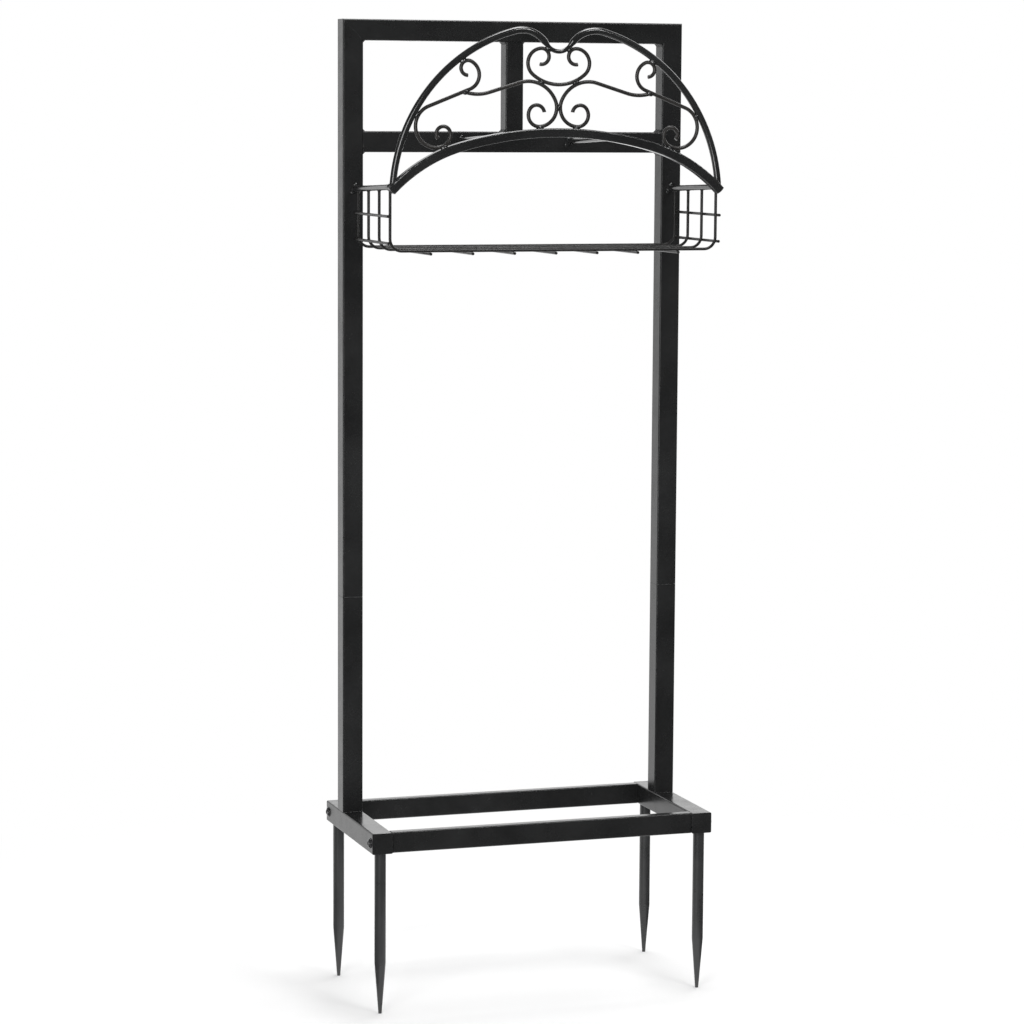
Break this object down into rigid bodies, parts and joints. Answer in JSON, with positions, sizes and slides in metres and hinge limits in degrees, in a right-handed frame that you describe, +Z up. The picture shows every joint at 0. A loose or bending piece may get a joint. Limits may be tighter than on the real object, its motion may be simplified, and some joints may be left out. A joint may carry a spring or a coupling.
{
  "type": "freestanding hose holder",
  "caption": "Freestanding garden hose holder: square-tube frame on a staked base, with a bowed hose saddle under a scrolled arch and a wire basket below.",
  "frame": {"origin": "on the centre of the object's plan, at the level of the stake tips", "axes": "+Z up along the posts; front, where the hose hangs, faces -Y; +X to the right of someone facing the front"},
  "size_m": [0.4362, 0.24, 1.1753],
  "materials": {
    "frame_coat": "satin black powder coat on square steel tube",
    "hanger_coat": "satin black powder coat on bent steel bar and rod",
    "basket_coat": "satin black powder coat on thin steel wire",
    "stake_coat": "satin black powder coat on round steel bar",
    "bolt_coat": "black oxide on a small steel bolt",
    "inner_steel": "bare steel, hidden inside the tubes"
  },
  "bodies": {
    "base": {"end_block_front_left": "inner_steel", "end_block_front_right": "inner_steel", "end_block_rear_left": "inner_steel", "end_block_rear_right": "inner_steel", "end_cap_front_left": "frame_coat", "end_cap_front_right": "frame_coat", "end_cap_rear_left": "frame_coat", "end_cap_rear_right": "frame_coat", "front_rail": "frame_coat", "lower_post_left": "frame_coat", "lower_post_right": "frame_coat", "rail_bolts": "bolt_coat", "rear_rail": "frame_coat", "side_rail_left": "frame_coat", "side_rail_right": "frame_coat", "spigot_left": "inner_steel", "spigot_right": "inner_steel", "stake_front_left": "stake_coat", "stake_front_right": "stake_coat", "stake_rear_left": "stake_coat", "stake_rear_right": "stake_coat"},
    "upper_frame": {"arch": "hanger_coat", "brace_left": "hanger_coat", "brace_right": "hanger_coat", "centre_scroll": "hanger_coat", "divider": "frame_coat", "floor_wire_1": "basket_coat", "floor_wire_2": "basket_coat", "floor_wire_3": "basket_coat", "floor_wire_4": "basket_coat", "floor_wire_5": "basket_coat", "floor_wire_6": "basket_coat", "floor_wire_7": "basket_coat", "hoop_1": "basket_coat", "hoop_2": "basket_coat", "hoop_3": "basket_coat", "hoop_4": "basket_coat", "middle_rail": "frame_coat", "outer_scroll_left": "hanger_coat", "outer_scroll_right": "hanger_coat", "saddle": "hanger_coat", "side_bar_left": "hanger_coat", "side_bar_right": "hanger_coat", "side_wire_left_1": "basket_coat", "side_wire_left_2": "basket_coat", "side_wire_right_1": "basket_coat", "side_wire_right_2": "basket_coat", "top_rail": "frame_coat", "upper_post_left": "frame_coat", "upper_post_right": "frame_coat", "wave_scroll_left": "hanger_coat", "wave_scroll_right": "hanger_coat"}
  },
  "joints": [
    {"name": "upper_frame_lift", "type": "slide", "parent": "base", "child": "upper_frame", "axis": [0, 0, 1], "range_m": [0, 0.04]}
  ]
}
